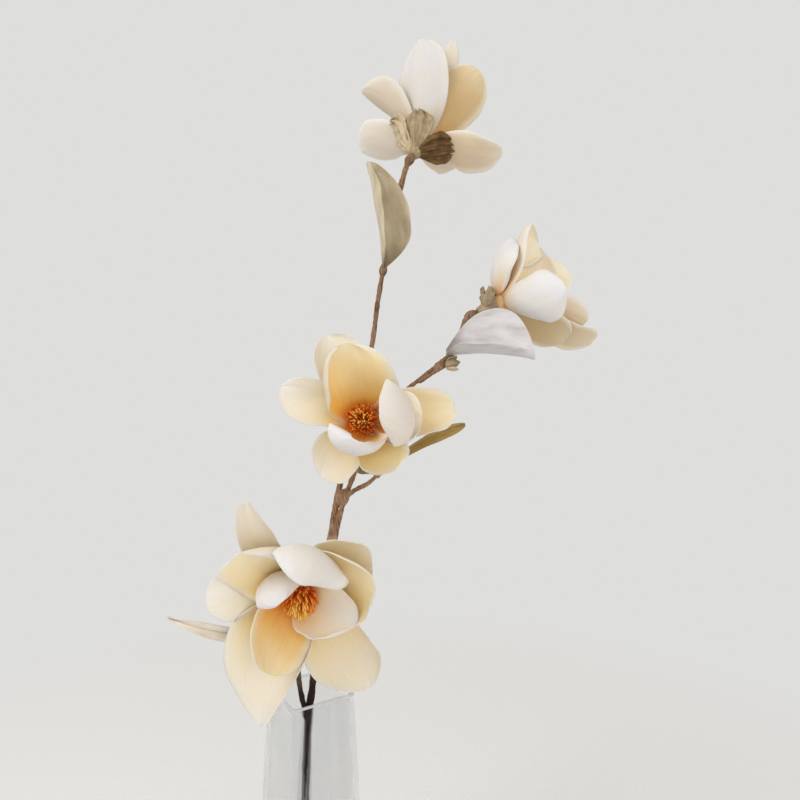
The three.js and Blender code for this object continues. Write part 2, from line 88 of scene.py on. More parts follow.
class Piece:
    """The parts of one object: points in millimetres, faces, and values at each point for its material."""

    def __init__(self):
        self.points = []
        self.faces = []
        self.values = {}
        self.count = 0

    def add(self, points, faces, **values):
        points = np.asarray(points, float).reshape(-1, 3)
        self.points.append(points)
        self.faces += [tuple(int(i) + self.count for i in face) for face in faces]
        for name, value in values.items():
            self.values.setdefault(name, []).append(np.broadcast_to(value, len(points)))
        self.count += len(points)

    def build(self, name, node, material):
        mesh = bpy.data.meshes.new(name)
        mesh.from_pydata(np.concatenate(self.points) * MM, [], self.faces)
        for value_name, parts in self.values.items():
            layer = mesh.attributes.new(value_name, "FLOAT", "POINT")
            layer.data.foreach_set("value", np.concatenate(parts).astype(np.float32))
        return place(mesh, name, node, material)


def place(mesh, name, node, material):
    mesh.polygons.foreach_set("use_smooth", [True] * len(mesh.polygons))
    mesh.materials.append(material)
    mesh.update()
    piece = bpy.data.objects.new(name, mesh)
    bpy.context.collection.objects.link(piece)
    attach(piece, "root")
    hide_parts(node)
    return piece


def ring_faces(rings, sides, closed_ends=True):
    faces = []
    for i in range(rings - 1):
        for j in range(sides):
            a = i * sides + j
            b = i * sides + (j + 1) % sides
            faces.append((a, b, b + sides, a + sides))
    if closed_ends:
        last = (rings - 1) * sides
        faces.append(tuple(range(sides - 1, -1, -1)))
        faces.append(tuple(range(last, last + sides)))
    return faces


def smooth_profile(profile, steps):
    """A finer profile through the given [radius, distance] points."""
    profile = np.array(profile, float)
    place_in = np.linspace(0, len(profile) - 1, steps)
    k = np.minimum(place_in.astype(int), len(profile) - 2)
    u = (place_in - k)[:, None]
    before = profile[np.maximum(k - 1, 0)]
    after = profile[np.minimum(k + 2, len(profile) - 1)]
    start = profile[k]
    end = profile[k + 1]
    return 0.5 * (
        2 * start
        + (end - before) * u
        + (2 * before - 5 * start + 4 * end - after) * u**2
        + (3 * start - before - 3 * end + after) * u**3
    )


def turned(axes, profile, sides, flutes=0, depth=0.0):
    """Rings about an axis from [radius, distance] points, with soft lengthwise flutes."""
    angle = np.arange(sides) * TAU / sides
    rings = []
    for radius, distance in profile:
        r = radius * (1 + depth * np.cos(flutes * angle))
        ring = along(axes, distance) + np.outer(r * np.cos(angle), axes["right"])
        rings.append(ring + np.outer(r * np.sin(angle), axes["up"]))
    return np.array(rings)


# ---------------------------------------------------------------- blades: petals, sepals and leaves
# A blade leaves its frame's axis in the direction turn, and its centreline leans away from the axis by
# lean[0] at the root, lean[1] half way and lean[2] at the tip. Across, it is an arc of half-angle cup about
# the side that faces the axis, with the two edges rolled further in by roll. ruffle and lump are how far,
# in millimetres, its edges wave and its face undulates. glow is how far up the inside the orange of the
# bloom's heart reaches, and warm is how far its colour goes towards the warm ramps, from 0, nearly white,
# to 1: inside a yellower cream, outside a darker tan-brown that is its own tan deepened by painted shade,
# for an outside turned from the light, and on a sepal a dark brown. tone is how light its colour is.
STATIONS = 48
PLAIN = {
    "sway": 0,
    "twist": 0,
    "roll": (0, 0),
    "fold": (0, 0),
    "tip": 0.5,
    "widest": 0.58,
    "root_width": 0.34,
    "ruffle": 1.0,
    "lump": 0.8,
    "ribs": 0.0,
    "glow": 1.0,
    "warm": 0.5,
    "tone": 1.0,
}


def outline(s, blade):
    rise = np.clip(s / blade["widest"], 0, 1)
    fall = np.clip((s - blade["widest"]) / (1 - blade["widest"]), 0, 1)
    growing = blade["root_width"] + (1 - blade["root_width"]) * np.sin(math.pi / 2 * rise)
    return np.where(s < blade["widest"], growing, np.maximum(0, 1 - fall**2) ** blade["tip"])


def turn_about(v, axis, angle):
    cross = np.cross(axis, v)
    return v * math.cos(angle) + cross * math.sin(angle) + axis * axis.dot(v) * (1 - math.cos(angle))


def centreline(blade, axes):
    turn = math.radians(blade["turn"])
    away = math.cos(turn) * axes["right"] + math.sin(turn) * axes["up"]
    across = np.cross(axes["out"], away)
    root, middle, tip = blade["lean"]
    at = along(axes, blade["rise"]) + away * blade["root"]
    places = []
    sides = []
    inwards = []
    for i in range(STATIONS + 1):
        s = i / STATIONS
        lean = math.radians(root * (1 - s) * (1 - 2 * s) + 4 * middle * s * (1 - s) + tip * s * (2 * s - 1))
        forward = away * math.sin(lean) + axes["out"] * math.cos(lean)
        inward = axes["out"] * math.sin(lean) - away * math.cos(lean)
        sway = math.radians(blade["sway"] * s)
        heading = forward * math.cos(sway) + across * math.sin(sway)
        side = across * math.cos(sway) - forward * math.sin(sway)
        twist = math.radians(blade["twist"] * s)
        places.append(at.copy())
        sides.append(turn_about(side, heading, twist))
        inwards.append(turn_about(inward, heading, twist))
        at = at + heading * blade["length"] / STATIONS
    return np.array(places), np.array(sides), np.array(inwards)


def on_blade(blade, stations, s, t):
    """Points and inward normals of a blade's middle surface.

    s runs along it from 0 to 1, and t across it from -1 to 1.
    """
    place_in = np.minimum(s * STATIONS, STATIONS - 1e-6)
    k = place_in.astype(int)
    share = (place_in - k)[..., None]
    at, side, inward = (mix(line[k], line[k + 1], share) for line in stations)
    side = unit(side)
    inward = unit(inward)
    half = blade["width"] / 2 * outline(s, blade)
    wrap = np.radians(mix(blade["wrap"], blade["cup"], ease(s, 0, 0.45)))
    roll = np.radians(np.where(t < 0, *blade["roll"])) * ease(s, 0.1, 0.5)
    fold = np.where(t < 0, *blade["fold"])
    reach = np.abs(t)
    x = np.zeros_like(s)
    y = np.zeros_like(s)
    slices = 8
    for i in range(slices):
        u = (i + 0.5) / slices * reach
        angle = wrap * u + roll * ease(u, 0.45, 1) + fold
        x += np.cos(angle) * reach / slices
        y += np.sin(angle) * reach / slices
    angle = wrap * reach + roll * ease(reach, 0.45, 1) + fold * (reach > 0)
    sign = np.sign(t)
    point = at + side * (sign * x * half)[..., None] + inward * (y * half)[..., None]
    normal = inward * np.cos(angle)[..., None] - side * (sign * np.sin(angle))[..., None]
    return point, normal


def relief(blade, s, t, rng):
    """How far each point stands off the plain blade: waving edges, slow lumps and lengthwise ribs."""
    phase = rng.uniform(0, TAU, 8)
    far = ease(s, 0.2, 0.75)
    side = np.where(t < 0, phase[0], phase[1])
    edge = np.sin(TAU * 1.6 * s + side) + 0.5 * np.sin(TAU * 3.9 * s + 2 * side)
    face = np.sin(TAU * (0.9 * s + 0.4 * t) + phase[2]) + 0.6 * np.sin(TAU * (1.9 * s - 0.7 * t) + phase[3])
    fan = np.sin(TAU * 2.2 * t + phase[4] + 1.5 * s) + 0.6 * np.sin(TAU * 3.7 * t + phase[5] - 2 * s)
    return (
        blade["ruffle"] * edge * np.abs(t) ** 3 * far * 0.8
        + blade["lump"] * face * ease(s, 0.1, 0.5) * (1 - 0.5 * np.abs(t)) * 0.7
        + blade["ribs"] * fan * ease(s, 0.05, 0.35)
        + 0.16 * fan * ease(s, 0.3, 1.0)
    )


def add_blade(piece, given, axes, thickness, rows, columns, rng):
    blade = {**PLAIN, **given}
    stations = centreline(blade, axes)
    share = np.linspace(0, 1, rows + 1)
    s, t = np.meshgrid(0.992 * (1 - (1 - share) ** 1.45), np.linspace(-1, 1, columns + 1), indexing="ij")
    phase = rng.uniform(0, TAU, 2)
    wander = 1 + 0.025 * np.sin(TAU * 1.3 * s + np.where(t < 0, *phase)) * ease(s, 0.2, 0.6)
    middle, normal = on_blade(blade, stations, s, t * wander)
    middle = middle + normal * relief(blade, s, t, rng)[..., None]
    thin = (1 - 0.55 * np.abs(t) ** 6) * (1 - 0.5 * s**8) * thickness / 2
    outside = middle - normal * thin[..., None]
    inside = middle + normal * thin[..., None]
    count = s.size
    row = columns + 1
    faces = []

    def wall(a, b):
        faces.append((a, b, b + count, a + count))

    for i in range(rows):
        for j in range(columns):
            a = i * row + j
            b = a + count
            faces.append((a, a + 1, a + row + 1, a + row))
            faces.append((b, b + row, b + row + 1, b + 1))
        wall(i * row, (i + 1) * row)
        wall((i + 1) * row + columns, i * row + columns)
    for j in range(columns):
        wall(j + 1, j)
        wall(rows * row + j, rows * row + j + 1)
    half = blade["width"] / 2 * np.maximum(outline(s, blade), 0.25)
    piece.add(
        np.concatenate([outside.reshape(-1, 3), inside.reshape(-1, 3)]),
        faces,
        s=np.tile(s.ravel(), 2),
        t=np.tile(t.ravel(), 2),
        x_mm=np.tile((t * half).ravel(), 2),
        y_mm=np.tile((s * blade["length"]).ravel(), 2),
        inner=np.repeat([0.0, 1.0], count),
        seed=rng.uniform(0, 1),
        glow=blade["glow"],
        warm=blade["warm"],
        tone=blade["tone"],
    )


# ---------------------------------------------------------------- the blooms' measures
# turn is counted anticlockwise by someone facing the bloom, from their right. Inner petals stand on the
# heart's front, and outer ones spring from its side.
INNER = {"root": 5, "rise": 5, "wrap": 70, "cup": 55}
OUTER = {"root": 6.2, "rise": 3, "wrap": 70, "cup": 34}
SEPAL = {
    "root": 3.4,
    "rise": -12,
    "length": 38,
    "width": 28,
    "wrap": 60,
    "cup": 36,
    "widest": 0.6,
    "ruffle": 1.6,
    "lump": 0.8,
    "ribs": 0.5,
}


def petal(kind, turn, lean, length, width, **more):
    return {**kind, "turn": turn, "lean": lean, "length": length, "width": width, **more}


HIDDEN_SEPALS = [{"turn": turn, "lean": (75, 95, 100)} for turn in (30, 150, 270)]

# A high warm on an outer petal is partly painted shade: the brown of an outside turned from the light.
BLOOMS = {
    "top_bloom": {
        "at": (93.5, 10, 715.5),
        "faces": (0.42, 0.5, 0.757),
        "petals": [
            petal(INNER, 122, (15, 30, 45), 92, 26, sway=-9, roll=(0, 25), tip=0.45, widest=0.5, warm=0.4),
            petal(INNER, 330, (30, 35, 30), 74, 50),
            petal(INNER, 215, (20, 20, 10), 72, 44),
            petal(
                OUTER, 97, (30, 40, 25), 90, 52,
                sway=-16, roll=(-20, -30), tip=0.55, widest=0.55, warm=0, tone=0.84,
            ),
            petal(INNER, 148, (30, 30, 35), 76, 54, sway=8, roll=(-5, -20), cup=50, widest=0.65, warm=1.0),
            petal(
                OUTER, 211, (85, 95, 45), 68, 40,
                sway=-16, twist=10, roll=(10, -25), cup=15, tip=0.6, warm=0.6,
            ),
            petal(OUTER, 299, (30, 60, 45), 57, 56, twist=10, cup=45, widest=0.5),
            petal(
                OUTER, 32, (55, 55, 100), 84, 50,
                sway=14, twist=-10, cup=55, tip=0.75, widest=0.7, warm=0.45, tone=0.9,
            ),
            petal(
                OUTER, 12, (65, 80, 75), 76, 46,
                sway=-16, roll=(25, 0), cup=40, tip=0.45, widest=0.7, warm=0.3,
            ),
        ],
        "sepals": [
            {"turn": 94, "lean": (55, 30, 5), "width": 36, "sway": -6, "cup": 45, "ribs": 1.3, "warm": 0.5},
            {
                "turn": 211, "lean": (60, 65, 50), "length": 32, "width": 34, "sway": -14, "roll": (0, 25),
                "tip": 0.4, "ribs": 1.2, "warm": 1.0,
            },
            {
                "turn": 36, "lean": (70, 40, 65), "length": 44, "width": 30, "cup": 40,
                "ribs": 1.2, "warm": 0.1,
            },
        ],
    },
    "right_bloom": {
        "at": (157, 0, 575),
        "faces": (0.93, 0.05, 0.36),
        "petals": [
            petal(
                INNER, 192, (70, 50, 10), 62, 56,
                sway=-4, twist=-15, roll=(30, -5), cup=65, widest=0.7, warm=0,
            ),
            petal(
                INNER, 64, (25, 45, 10), 76, 74,
                sway=-16, twist=-60, roll=(20, 30), cup=65, tip=0.8, widest=0.7,
            ),
            petal(INNER, 234, (30, 30, 20), 72, 42, sway=34, tip=0.45, warm=0.6),
            petal(
                OUTER, 70, (85, 55, 20), 66, 70,
                sway=-4, twist=10, roll=(-5, 15), cup=60, widest=0.45, warm=0,
            ),
            petal(OUTER, 322, (55, 55, 40), 78, 50),
            petal(
                OUTER, 267, (30, 45, 10), 88, 54,
                sway=12, twist=-15, roll=(-15, -35), cup=20, widest=0.7, warm=0.8,
            ),
            petal(
                OUTER, 251, (40, 50, 35), 60, 56,
                sway=20, twist=-15, roll=(-10, -10), cup=15, tip=0.4, warm=1.2,
            ),
            petal(
                INNER, 2, (50, 15, 30), 88, 46,
                sway=15, twist=-20, roll=(-10, -5), cup=50, tip=0.6, widest=0.65,
            ),
        ],
        "sepals": [
            {"turn": 108, "lean": (55, 45, 35), "length": 19, "width": 24},
            {"turn": 300, "lean": (62, 72, 66)},
            {"turn": 20, "lean": (62, 72, 66)},
        ],
    },
    "middle_bloom": {
        "at": (46.7, -18.4, 475.9),
        "faces": (-0.03, -0.98, 0.17),
        "petals": [
            petal(
                INNER, 102, (35, 45, 40), 70, 72,
                root=6.5, sway=-3, twist=-10, roll=(-60, 85), tip=0.4, widest=0.45, warm=1,
            ),
            petal(
                INNER, 1, (55, 15, -90), 108, 63,
                twist=15, roll=(25, -10), cup=65, tip=0.4, widest=0.7, warm=0.3,
            ),
            petal(
                INNER, 254, (50, 20, -60), 69, 66,
                sway=13, twist=10, roll=(30, 15), cup=70, tip=0.4, warm=0,
            ),
            petal(
                OUTER, 236, (75, 100, 95), 50, 48,
                sway=-10, twist=20, roll=(0, 10), tip=0.6, widest=0.6, warm=0.3, tone=0.82,
            ),
            petal(OUTER, 298, (50, 60, 40), 51, 46, roll=(75, -30), cup=25, tip=0.4, widest=0.7, warm=1),
            petal(
                OUTER, 8, (65, 85, 90), 70, 44,
                roll=(5, -25), cup=45, tip=0.45, widest=0.55, warm=0.8, tone=0.85,
            ),
            petal(
                OUTER, 161, (65, 75, 85), 67, 38,
                sway=-4, twist=-20, roll=(-25, 20), tip=0.55, widest=0.65, warm=0.1, tone=0.9,
            ),
            petal(
                OUTER, 112, (45, 80, 85), 72, 43,
                sway=3, twist=10, roll=(-5, 20), cup=30, widest=0.7, warm=0.25, tone=0.92,
            ),
            petal(OUTER, 72, (45, 50, 35), 54, 46),
            petal(OUTER, 357, (50, 50, 70), 52, 48, sway=-3, roll=(65, -5), cup=22, tip=0.45, widest=0.7),
        ],
        "sepals": HIDDEN_SEPALS,
    },
    "lower_bloom": {
        "at": (0.9, -54.5, 356.6),
        "faces": (0.12, -0.93, -0.3),
        "petals": [
            petal(
                INNER, 235, (45, 35, 25), 62, 49,
                sway=5, roll=(-10, -15), cup=30, tip=0.4, widest=0.45, glow=1.9, tone=0.82,
            ),
            petal(
                INNER, 345, (20, 50, 35), 53, 59,
                sway=9, twist=-35, roll=(20, 20), cup=70, tip=0.4, widest=0.4, glow=0.85, warm=0.15,
            ),
            petal(
                INNER, 125, (70, 25, -65), 64, 50,
                sway=-7, twist=-20, roll=(0, 25), cup=60, tip=0.4, warm=0.1,
            ),
            petal(
                INNER, 72, (65, 40, -75), 96, 64,
                root=6, sway=15, twist=-15, roll=(-25, 15), cup=60, tip=0.4, widest=0.65, warm=0.15,
            ),
            petal(
                OUTER, 121, (50, 60, 45), 72, 72,
                sway=11, roll=(135, -40), cup=15, tip=0.45, widest=0.5, warm=0.7,
            ),
            petal(
                OUTER, 236, (65, 60, 70), 98, 70,
                sway=31, twist=50, roll=(-35, 75), cup=20, tip=0.7, widest=0.45, warm=0.12, tone=0.84,
            ),
            petal(
                OUTER, 304, (65, 80, 60), 91, 63,
                roll=(-5, 15), cup=50, tip=0.65, widest=0.6, warm=0.3, tone=0.86,
            ),
            petal(
                OUTER, 32, (40, 60, 20), 72, 75,
                twist=-10, roll=(25, -10), cup=50, tip=0.55, widest=0.55, warm=0.9,
            ),
            petal(
                OUTER, 41, (65, 65, 45), 72, 51,
                sway=15, roll=(20, -5), cup=30, tip=0.45, widest=0.5, warm=0.6,
            ),
            petal(
                OUTER, 120, (60, 75, 105), 86, 32,
                sway=-13, twist=-15, roll=(20, -5), cup=50, tip=0.4, warm=0.15, tone=0.82,
            ),
            petal(OUTER, 177, (80, 70, 80), 63, 49, sway=-12, roll=(5, -30), cup=25, widest=0.65, warm=0),
        ],
        "sepals": HIDDEN_SEPALS,
    },
}

GAP = 0.3
PETAL_THICKNESS = 0.8
SEPAL_THICKNESS = 1.1
LEAF_THICKNESS = 0.8
HEART = ((7.4, 0.3), (8, 4), (7.6, 8), (5.5, 12))
CALYX = {"radius": 8.2, "height": 16, "foot": 4}
PETAL_GRID = (44, 24)


def petals_of(name, bloom, axes, material):
    rng = np.random.default_rng(sum(map(ord, name)))
    piece = Piece()
    heart = turned(axes, smooth_profile(HEART, 9), 24, 8, 0.03)
    piece.add(
        heart, ring_faces(len(heart), 24),
        s=0.1, t=0.0, x_mm=0.0, y_mm=0.0, inner=0.0, seed=0.5, glow=1.0, warm=0.5, tone=1.0,
    )
    for blade in bloom["petals"]:
        add_blade(piece, blade, axes, PETAL_THICKNESS, *PETAL_GRID, rng)
    piece.build(name + "_petal_whorl", name + "_petals", material)


def calyx_of(name, bloom, axes, material):
    rng = np.random.default_rng(sum(map(ord, name)) + 1)
    piece = Piece()
    height = CALYX["height"]
    radius = CALYX["radius"]
    profile = ((CALYX["foot"], -height), (radius - 2.6, -height * 0.7), (radius - 1.2, -6), (radius, 0))
    cup = turned(axes, smooth_profile(profile, 13), 40, 10, 0.05)
    around = np.tile(np.arange(40) / 40, 13)
    upward = np.repeat(np.linspace(0, 0.3, 13), 40)
    plain = {"inner": 0.0, "seed": 0.3, "glow": 1.0, "warm": 0.5, "tone": 1.0}
    piece.add(cup, ring_faces(13, 40), s=upward, t=0.0, x_mm=around * 50, y_mm=upward * 50, **plain)
    for sepal in bloom["sepals"]:
        add_blade(piece, {**SEPAL, **sepal}, axes, SEPAL_THICKNESS, 36, 32, rng)
    piece.build(name + "_sepals", name + "_calyx", material)


# ---------------------------------------------------------------- stamens
STAMEN = {"count": 130, "length": 16.5, "root": 0.5, "end": 0.62, "sides": 6, "steps": 8}
BOSS = ((4.4, 0), (5, 3), (3.5, 6.5), (1.2, 9))
CARPELS = 46
GOLDEN = 2.39996


def rod(centres, radii, sides):
    """Rings of a curved rod through centres, with the given radius at each."""
    tangent = unit(np.gradient(centres, axis=0))
    side = np.array([0.31, 0.52, 0.79])
    rings = []
    for centre, forward, radius in zip(centres, tangent, radii):
        side = unit(side - forward * side.dot(forward))
        over = np.cross(forward, side)
        angle = np.arange(sides) * TAU / sides
        rings.append(centre + radius * (np.outer(np.cos(angle), side) + np.outer(np.sin(angle), over)))
    return np.array(rings)


def stamens_of(name, bloom, axes, material):
    rng = np.random.default_rng(sum(map(ord, name)) + 2)
    piece = Piece()
    foot = 12 + GAP
    boss = turned(axes, smooth_profile([(r, foot + z) for r, z in BOSS], 13), 24)
    piece.add(boss, ring_faces(13, 24), tip=0.45, seed=0.5)
    u = np.linspace(0, 1, STAMEN["steps"])
    for k in range(STAMEN["count"]):
        share = (k + 0.5) / STAMEN["count"]
        turn = k * GOLDEN + rng.uniform(-0.15, 0.15)
        away = math.cos(turn) * axes["right"] + math.sin(turn) * axes["up"]
        over = np.cross(axes["out"], away)
        lean = math.radians(mix(12, 74, share) + rng.uniform(-6, 6))
        length = STAMEN["length"] * rng.uniform(0.8, 1.05)
        out = math.sin(lean) * length * u * (1 - 0.35 * u) + 1.2 + 2.6 * share
        up = math.cos(lean) * length * u + 4 * u * u + mix(6, 1, share)
        drift = rng.uniform(-1.6, 1.6) * u**2
        centres = axes["at"] + np.outer(foot + up, axes["out"]) + np.outer(out, away) + np.outer(drift, over)
        radii = mix(STAMEN["root"], STAMEN["end"], ease(u, 0.4, 0.85)) * np.where(u > 0.99, 0.45, 1)
        rings = rod(centres, radii, STAMEN["sides"])
        along_it = np.repeat(mix(1.0, 0.55, share) * u, STAMEN["sides"])
        piece.add(rings, ring_faces(len(u), STAMEN["sides"]), tip=along_it, seed=rng.uniform(0, 1))
    for k in range(CARPELS):
        share = (k + 0.5) / CARPELS
        turn = k * GOLDEN
        away = math.cos(turn) * axes["right"] + math.sin(turn) * axes["up"]
        radius = 5 * math.sqrt(share)
        height = foot + 9.5 - 6.5 * share
        start = along(axes, height - 2) + away * radius * 0.8
        lift = u[:5, None] / u[4]
        hook = axes["out"] * 4.2 * lift + away * 2.4 * lift**2
        rings = rod(start + hook, mix(0.75, 0.3, lift[:, 0]), 6)
        piece.add(rings, ring_faces(5, 6), tip=np.repeat(0.6 + 0.4 * lift[:, 0], 6), seed=rng.uniform(0, 1))
    piece.build(name + "_stamen_ring", name + "_stamens", material)


# ---------------------------------------------------------------- wood
def catmull(points, count):
    """Evenly spaced points on a centripetal Catmull-Rom curve."""
    points = [np.array(p, float) for p in points]
    points = [2 * points[0] - points[1]] + points + [2 * points[-1] - points[-2]]
    dense = []
    for p0, p1, p2, p3 in zip(points, points[1:], points[2:], points[3:]):
        d0, d1, d2 = (max(np.linalg.norm(b - a), 1e-6) ** 0.5 for a, b in ((p0, p1), (p1, p2), (p2, p3)))
        start = ((p1 - p0) / d0 - (p2 - p0) / (d0 + d1) + (p2 - p1) / d1) * d1
        end = ((p2 - p1) / d1 - (p3 - p1) / (d1 + d2) + (p3 - p2) / d2) * d1
        u = np.linspace(0, 1, 24, endpoint=False)[:, None]
        cubic = (2 * (p1 - p2) + start + end) * u**3 + (3 * (p2 - p1) - 2 * start - end) * u**2
        dense.append(cubic + start * u + p1)
    dense = np.concatenate(dense + [points[-2][None]])
    length = np.concatenate([[0], np.cumsum(np.linalg.norm(np.diff(dense, axis=0), axis=1))])
    even = np.linspace(0, length[-1], count)
    return np.stack([np.interp(even, length, dense[:, i]) for i in range(3)], axis=1), length[-1]


def up_to(name, points):
    bloom = BLOOMS[name]
    axes = bloom_frame(bloom["at"], bloom["faces"])
    height = CALYX["height"]
    return [*points, along(axes, -height - 9), along(axes, -height - GAP)]


VASE = {
    "height": 250,
    "half_base": 39,
    "half_rim": 28.5,
    "wall": 3.2,
    "floor": 12,
    "corner": 5,
    "turn": 32,
    "round": 1.5,
}

SHOOTS = {
    "main": (
        up_to("top_bloom", [
            (-11, -1, VASE["floor"] + GAP), (-2, -17, 166), (2, -22.4, 242), (4.1, -20, 258),
            (6.4, -13, 288), (9.6, -6, 327), (13.1, 0, 355), (17, 3, 380), (21, 6, 405), (25.1, 8, 426),
            (33.5, 10, 465), (42.2, 10, 504), (51.8, 8, 542.5), (57.1, 6, 581), (62.3, 5, 611),
            (68.3, 6, 643), (75.1, 6, 673),
        ]),
        (3.5, 3.4, 3.3, 3.0, 2.9, 2.6, 2.3, 2.1, 2.6),
    ),
    "right": (
        up_to("right_bloom", [
            (2.5, -19, 249), (7.5, -9, 286), (12.3, -3, 326),
            (16.8, 0, 354.5), (21.2, 2, 380), (26.4, 3, 403),
            (32, 5, 419.5), (43.1, 10, 447), (62.1, 12, 479), (83, 8, 504.5), (96.6, 4, 515.6),
            (110, 0, 526.5), (122.6, -2, 537.3),
        ]),
        (2.2, 2.3, 2.3, 2.2, 2.0, 1.9, 2.6),
    ),
    "to_middle": (
        up_to("middle_bloom", [
            (28, 3, 411), (37.8, -1, 418.6), (50, 0, 425), (57.6, 4, 434), (57, 10, 455),
        ]),
        (2.2, 1.9, 1.9, 2.6),
    ),
    "to_lower": (
        up_to("lower_bloom", [
            (1, -23, 236), (-2.7, -28, 255.6), (-4.5, -32, 272), (-5.4, -35, 293.6), (-3, -34, 325),
        ]),
        (2.2, 2.2, 2.0, 2.6),
    ),
    "bud_stalk": ([(92, 4, 510), (101.4, -1, 516), (109, -5, 521), (114, -7, 523.5)], (1.6, 1.5, 1.8)),
}

# A swelling of the wood: where it is, which way it runs, its length and its radius.
KNOTS = [
    ((28, 4, 411), (0.3, 0.1, 1), 16, 4.6),
    ((57.6, 4, 434), (0.2, 0.2, 1), 12, 3.6),
    ((1, -23, 240), (-0.1, -0.2, 1), 14, 4.2),
    ((109, -3, 524), (1, 0, 0.8), 12, 3.4),
    ((61.5, 5, 606), (0.2, 0, 1), 12, 3.6),
]
STALK_END = {"length": 12, "radius": 4.2}
VOXEL = 0.75


def knot_rings(axes, start, end, radius):
    profile = ((0.35, 0), (0.85, 0.25), (1, 0.6), (0.6, 1))
    return turned(axes, [(radius * r, mix(start, end, u)) for r, u in smooth_profile(profile, 9)], 14)


def wood(material):
    """All the shoots and knots, fused by a voxel remesh, then given bark."""
    piece = Piece()
    tree_points = []
    for path, radii in SHOOTS.values():
        centres, length = catmull(path, max(12, int(np.linalg.norm(np.subtract(path[-1], path[0])) / 2)))
        u = np.linspace(0, 1, len(centres))
        radius = np.interp(u * (len(radii) - 1), range(len(radii)), radii)
        radius = radius * (1 + 0.05 * np.sin(u * length / 7) + 0.04 * np.sin(u * length / 2.9))
        rings = rod(centres, radius, 16)
        piece.add(rings, ring_faces(len(rings), 16))
        tangent = unit(np.gradient(centres, axis=0))
        tree_points += list(zip(centres, tangent, u * length))
    for at, faces, length, radius in KNOTS:
        rings = knot_rings(bloom_frame(at, faces), -length / 2, length / 2, radius)
        piece.add(rings, ring_faces(len(rings), 14))
    for bloom in BLOOMS.values():
        end = -CALYX["height"] - GAP
        axes = bloom_frame(bloom["at"], bloom["faces"])
        rings = knot_rings(axes, end - STALK_END["length"], end, STALK_END["radius"])
        piece.add(rings, ring_faces(len(rings), 14))
    mesh = bpy.data.meshes.new("wood_rough")
    mesh.from_pydata(np.concatenate(piece.points), [], piece.faces)
    rough = bpy.data.objects.new("wood_rough", mesh)
    bpy.context.collection.objects.link(rough)
    remesh = rough.modifiers.new("fuse", "REMESH")
    remesh.mode = "VOXEL"
    remesh.voxel_size = VOXEL
    soften = rough.modifiers.new("soften", "SMOOTH")
    soften.iterations = 3
    graph = bpy.context.evaluated_depsgraph_get()
    fused = bpy.data.meshes.new_from_object(rough.evaluated_get(graph))
    bpy.data.objects.remove(rough)
    tree = kdtree.KDTree(len(tree_points))
    for i, (centre, _, _) in enumerate(tree_points):
        tree.insert(centre, i)
    tree.balance()
    count = len(fused.vertices)
    points = np.empty(count * 3)
    normals = np.empty(count * 3)
    fused.vertices.foreach_get("co", points)
    fused.vertices.foreach_get("normal", normals)
    points = points.reshape(-1, 3)
    normals = normals.reshape(-1, 3)
    lengthwise = np.empty(count)
    rise = np.empty(count)
    for i, point in enumerate(points):
        centre, tangent, distance = tree_points[tree.find(point)[1]]
        distance += (point - centre).dot(tangent)
        lengthwise[i] = distance
        flat = Vector((point[0], point[1], distance * 0.22))
        bark = noise.noise(flat * 0.8) * 0.35 + noise.noise(flat * 2.1) * 0.16
        scar = max(0, noise.noise(Vector((distance * 0.16, 0, 3)))) ** 2 * 0.8
        rise[i] = bark + scar - 0.05
    points = (points + normals * rise[:, None]) * MM
    fused.vertices.foreach_set("co", points.ravel())
    layer = fused.attributes.new("y_mm", "FLOAT", "POINT")
    layer.data.foreach_set("value", lengthwise)
    fused.name = "wood"
    place(fused, "branch_bark", "branch_wood", material)


# ---------------------------------------------------------------- leaves
LEAF = {
    "root": 0,
    "rise": 0,
    "wrap": 40,
    "cup": 12,
    "widest": 0.5,
    "root_width": 0.12,
    "tip": 0.8,
    "ruffle": 1.2,
    "lump": 1.0,
}
LEAVES = {
    "top_leaf": {
        "at": (61.5, 4, 609),
        "faces": (-0.1, -0.75, 0),
        "blade": {
            "turn": 87, "lean": (72, 72, 92), "length": 86, "width": 59, "sway": 20,
            "twist": 10, "fold": (0.05, 1.45), "cup": 42, "tip": 0.65, "widest": 0.35,
        },
        "colours": ((0.41, 0.33, 0.205), (0.56, 0.47, 0.32), (0.68, 0.61, 0.48)),
    },
    "right_leaf": {
        "at": (115, -6, 533),
        "faces": (0, -1, 0),
        "blade": {
            "turn": 3, "lean": (80, 50, 75), "length": 78, "width": 76, "sway": -15,
            "twist": -20, "fold": (1.4, -0.15), "cup": 22,
        },
        "colours": ((0.46, 0.44, 0.44), (0.62, 0.595, 0.60), (0.71, 0.68, 0.695)),
    },
    "middle_leaf": {
        "at": (57.5, 3, 432),
        "faces": (0, -1, 0),
        "blade": {
            "turn": 44, "lean": (90, 95, 105), "length": 88, "width": 15, "sway": -30, "fold": (0.3, 0.9),
            "cup": 28, "tip": 0.5, "widest": 0.75, "ruffle": 0.4, "lump": 0.3,
        },
        "colours": ((0.30, 0.19, 0.055), (0.42, 0.28, 0.085), (0.52, 0.38, 0.15)),
    },
    "lower_leaf": {
        "at": (-6, -33, 300),
        "faces": (0, -1, 0),
        "blade": {
            "turn": 170, "lean": (88, 83, 90), "length": 104, "width": 16, "sway": -9,
            "twist": -15, "fold": (0.25, 0.9), "widest": 0.4, "ruffle": 0.5,
        },
        "colours": ((0.54, 0.46, 0.36), (0.72, 0.63, 0.52), (0.80, 0.75, 0.70)),
    },
}


def leaves():
    for name, leaf in LEAVES.items():
        rng = np.random.default_rng(sum(map(ord, name)))
        piece = Piece()
        axes = bloom_frame(leaf["at"], leaf["faces"])
        add_blade(piece, {**LEAF, **leaf["blade"]}, axes, LEAF_THICKNESS, 64, 32, rng)
        piece.build(name + "_blade", name, leaf_material(name, *leaf["colours"]))


